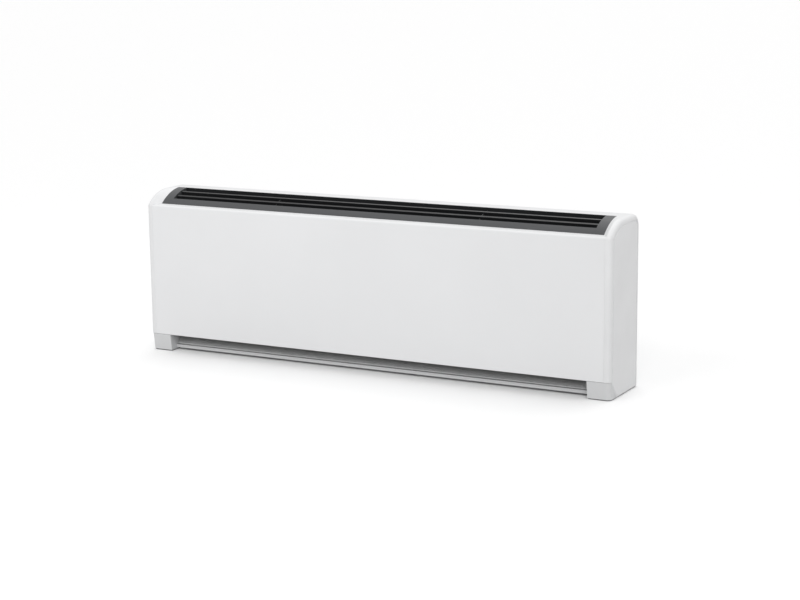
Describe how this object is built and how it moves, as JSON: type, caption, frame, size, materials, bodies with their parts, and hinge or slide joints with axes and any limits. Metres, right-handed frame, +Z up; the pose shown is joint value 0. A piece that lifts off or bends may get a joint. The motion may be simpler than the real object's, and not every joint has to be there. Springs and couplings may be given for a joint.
{
  "type": "floor fan coil unit",
  "caption": "Long low white floor-standing fan coil unit: bottom intake with sliding filter, fans on one shaft, tilted finned coil, curved dark top grille.",
  "frame": {"origin": "on the floor, under the middle of the unit's outline", "axes": "+X along the unit to its right end, +Y back to the wall, +Z up"},
  "size_m": [1.63, 0.225, 0.53],
  "materials": {
    "white_paint": "satin polyester powder coat on sheet steel",
    "white_plastic": "fine-textured moulded ABS",
    "foot_plastic": "fine-textured moulded ABS, light grey",
    "grille_plastic": "satin moulded ABS, dark grey",
    "grey_paint": "light grey powder coat on sheet steel",
    "zinc_steel": "hot-dip zinc-coated sheet steel with spangle",
    "black_plastic": "moulded flame-resistant plastic",
    "fan_plastic": "moulded antistatic ABS",
    "steel": "ground carbon steel",
    "motor_paint": "grey stove enamel on cast shells",
    "rubber": "moulded rubber",
    "bearing_bronze": "oil-filled sintered bronze",
    "fin_aluminium": "plain aluminium fins, closely spaced",
    "copper": "drawn copper tube",
    "brass": "turned brass",
    "foam": "closed-cell foam sheet",
    "filter_mesh": "extruded polypropylene net",
    "capacitor_can": "moulded capacitor can"
  },
  "bodies": {
    "casing": {"front_panel": "white_paint", "panel_insulation": "foam", "top_panel": "white_paint", "left_end_cap": "white_plastic", "right_end_cap": "white_plastic", "left_foot": "foot_plastic", "right_foot": "foot_plastic", "grille_front_strip": "grille_plastic", "grille_front_blade": "grille_plastic", "grille_rear_blade": "grille_plastic", "grille_left_rib": "grille_plastic", "grille_right_rib": "grille_plastic", "grille_left_end": "grille_plastic", "grille_right_end": "grille_plastic", "base_pan": "grey_paint", "outlet_guide": "grille_plastic", "rear_panel": "zinc_steel", "left_chassis_plate": "zinc_steel", "right_chassis_plate": "zinc_steel", "fan_deck": "zinc_steel", "coil_baffle": "zinc_steel", "motor_cradle": "zinc_steel", "left_bearing_bracket": "zinc_steel", "right_bearing_bracket": "zinc_steel", "fan_motor": "motor_paint", "left_motor_ring": "rubber", "right_motor_ring": "rubber", "left_bearing": "bearing_bronze", "right_bearing": "bearing_bronze", "coil_fins": "fin_aluminium", "left_tube_sheet": "zinc_steel", "right_tube_sheet": "zinc_steel", "coil_hairpins": "copper", "return_header": "copper", "supply_header": "copper", "return_union": "brass", "supply_union": "brass", "air_vent_body": "brass", "drain_pan": "black_plastic", "side_drain_tray": "black_plastic", "terminal_box": "black_plastic", "terminal_box_lid": "black_plastic", "terminal_block": "white_plastic", "cable_gland": "black_plastic", "run_capacitor": "capacitor_can", "left_filter_guide": "black_plastic", "right_filter_guide": "black_plastic", "outer_left_fan_housing": "fan_plastic", "inner_left_fan_housing": "fan_plastic", "inner_right_fan_housing": "fan_plastic", "outer_right_fan_housing": "fan_plastic"},
    "fan_rotor": {"fan_shaft": "steel", "outer_left_fan_wheel": "fan_plastic", "inner_left_fan_wheel": "fan_plastic", "inner_right_fan_wheel": "fan_plastic", "outer_right_fan_wheel": "fan_plastic"},
    "air_filter": {"filter_frame": "black_plastic", "filter_mesh": "filter_mesh", "intake_screen": "grey_paint"},
    "vent_screw": {"air_vent_screw": "brass"}
  },
  "joints": [
    {"name": "fan_spin", "type": "hinge", "parent": "casing", "child": "fan_rotor", "pos_m": [0, -0.0125, 0.165], "axis": [1, 0, 0], "continuous": true},
    {"name": "filter_slide", "type": "slide", "parent": "casing", "child": "air_filter", "axis": [0, -1, 0], "range_m": [0, 0.14]},
    {"name": "vent_turn", "type": "hinge", "parent": "casing", "child": "vent_screw", "pos_m": [-0.717, 0.04378, 0.44174], "axis": [0, 0.5736, 0.8192], "range_deg": [0, 360]}
  ]
}
